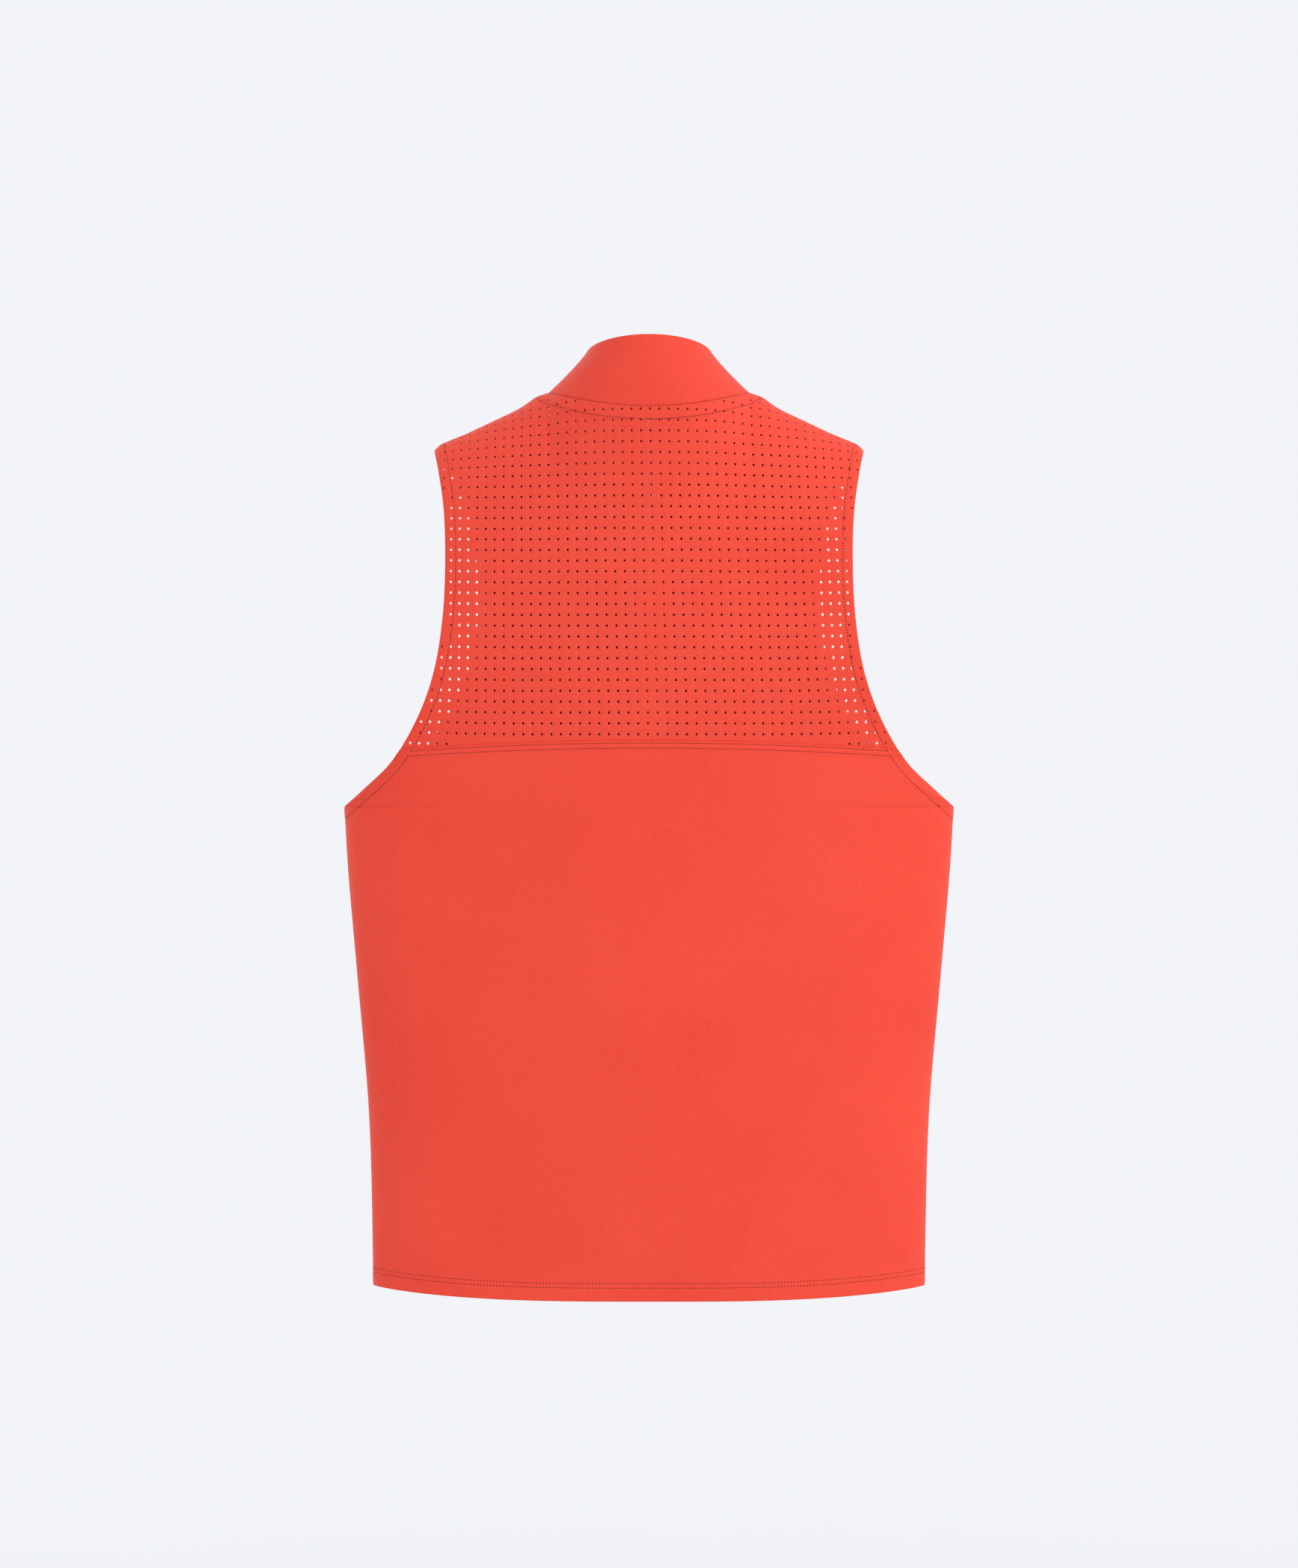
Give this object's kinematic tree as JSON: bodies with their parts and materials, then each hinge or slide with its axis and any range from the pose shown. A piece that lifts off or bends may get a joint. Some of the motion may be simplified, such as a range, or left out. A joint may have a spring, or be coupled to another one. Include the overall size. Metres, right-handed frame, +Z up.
{
  "type": "sleeveless sports vest",
  "caption": "Sleeveless stand-collar sports vest with a perforated back yoke, plain lower back and a full-length front zip.",
  "frame": {"origin": "middle of the neck opening at the height of the shoulder neck points", "axes": "+Z up, +Y towards the wearer's back, +X towards the wearer's left"},
  "size_m": [0.501, 0.1432, 0.789],
  "materials": {
    "knit": "smooth matt double knit",
    "inner_knit": "plain matt knit",
    "tape": "woven tape",
    "label": "blank woven satin label",
    "zip_plastic": "moulded acetal",
    "zip_metal": "plated zinc",
    "grip": "soft-touch moulded grip"
  },
  "bodies": {
    "vest": {"back_yoke": "knit", "back_panel": "knit", "front_panel_left": "knit", "front_panel_right": "knit", "collar_outer": "knit", "collar_lining": "inner_knit", "armhole_facing_left": "inner_knit", "armhole_facing_right": "inner_knit", "hem_facing_back": "inner_knit", "hem_facing_front_left": "inner_knit", "hem_facing_front_right": "inner_knit", "zip_guard": "inner_knit", "neck_tape": "tape", "zip_tape_left": "tape", "zip_tape_right": "tape", "hang_loop": "tape", "care_label": "label", "zip_teeth_left": "zip_plastic", "zip_teeth_right": "zip_plastic", "zip_stop_left": "zip_plastic", "zip_stop_right": "zip_plastic", "insertion_pin": "zip_plastic", "retainer_box": "zip_plastic"},
    "slider": {"slider_body": "zip_metal"},
    "pull": {"pull_tab": "zip_metal", "pull_grip": "grip"}
  },
  "joints": [
    {"name": "slider_slide", "type": "slide", "parent": "vest", "child": "slider", "axis": [0, 0, 1], "range_m": [-0.701, 0]},
    {"name": "pull_tab_hinge", "type": "hinge", "parent": "slider", "child": "pull", "pos_m": [0, -0.0744, -0.02715], "axis": [1, 0, 0], "range_deg": [-165, 0]}
  ]
}
